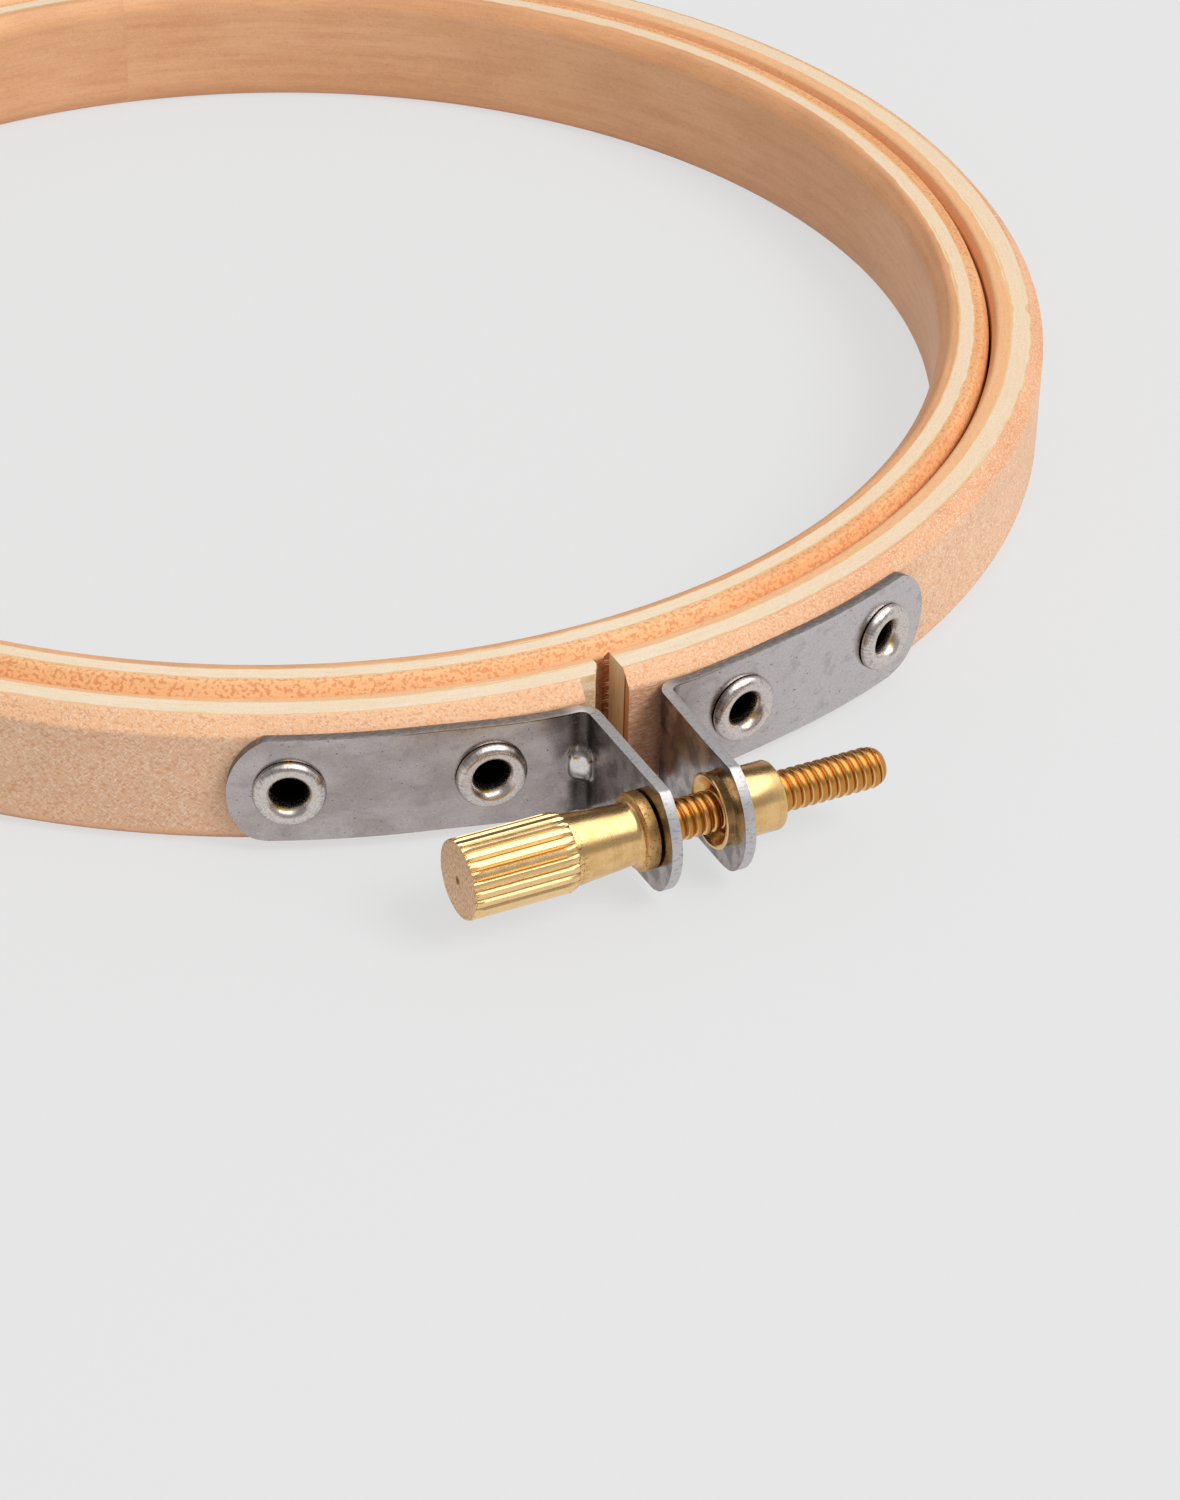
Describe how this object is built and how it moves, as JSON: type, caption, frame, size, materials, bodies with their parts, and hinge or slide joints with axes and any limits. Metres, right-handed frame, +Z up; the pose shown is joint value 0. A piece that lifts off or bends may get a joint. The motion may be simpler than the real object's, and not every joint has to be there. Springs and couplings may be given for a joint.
{
  "type": "embroidery hoop",
  "caption": "Round embroidery hoop: a split outer ring of bent plywood clamps over an inner ring, drawn up by a knurled brass thumb screw through two riveted steel brackets.",
  "frame": {"origin": "middle of the bounding box on the surface that the hoop lies on; the rings' common centre is 7.0 mm behind it", "axes": "+Z up, along the rings' axis; -Y towards the clamp and the outer ring's split; +X to the right seen from the clamp, towards the thumb screw's tail"},
  "size_m": [0.1174, 0.1314, 0.01],
  "materials": {
    "beech_veneer": "bare sanded beech veneer with fine reddish flecks",
    "pale_core": "bare pale core veneer, sanded edge",
    "sheet_steel": "rolled and tumbled steel sheet, lightly smudged",
    "nickel_plate": "bright nickel plate over brass",
    "turned_brass": "turned and knurled bare brass"
  },
  "bodies": {
    "outer_ring": {"outer_ring_inner_ply": "beech_veneer", "outer_ring_core_ply": "pale_core", "outer_ring_outer_ply": "beech_veneer", "right_bracket": "sheet_steel", "right_near_eyelet": "nickel_plate", "right_far_eyelet": "nickel_plate", "clamp_bush": "turned_brass"},
    "left_clamp": {"left_bracket": "sheet_steel", "left_near_eyelet": "nickel_plate", "left_far_eyelet": "nickel_plate"},
    "screw": {"thumb_screw": "turned_brass"},
    "inner_ring": {"inner_ring_inner_ply": "beech_veneer", "inner_ring_core_ply": "pale_core", "inner_ring_outer_ply": "beech_veneer"}
  },
  "joints": [
    {"name": "clamp_flex", "type": "hinge", "parent": "outer_ring", "child": "left_clamp", "pos_m": [0, 0.06377, 0.005], "axis": [0, 0, 1], "range_deg": [-1.84, 0.47], "deforming": ["outer_ring_inner_ply", "outer_ring_core_ply", "outer_ring_outer_ply"]},
    {"name": "screw_turn", "type": "hinge", "parent": "left_clamp", "child": "screw", "pos_m": [0, -0.06178, 0.0051], "axis": [1, 0, 0], "range_deg": [-2160, 540]},
    {"name": "inner_ring_lift", "type": "slide", "parent": "outer_ring", "child": "inner_ring", "axis": [0, 0, 1], "range_m": [0, 0.016]}
  ],
  "couplings": [
    {"joint": "clamp_flex", "follows": "screw_turn", "ratio": 0.0008493}
  ]
}
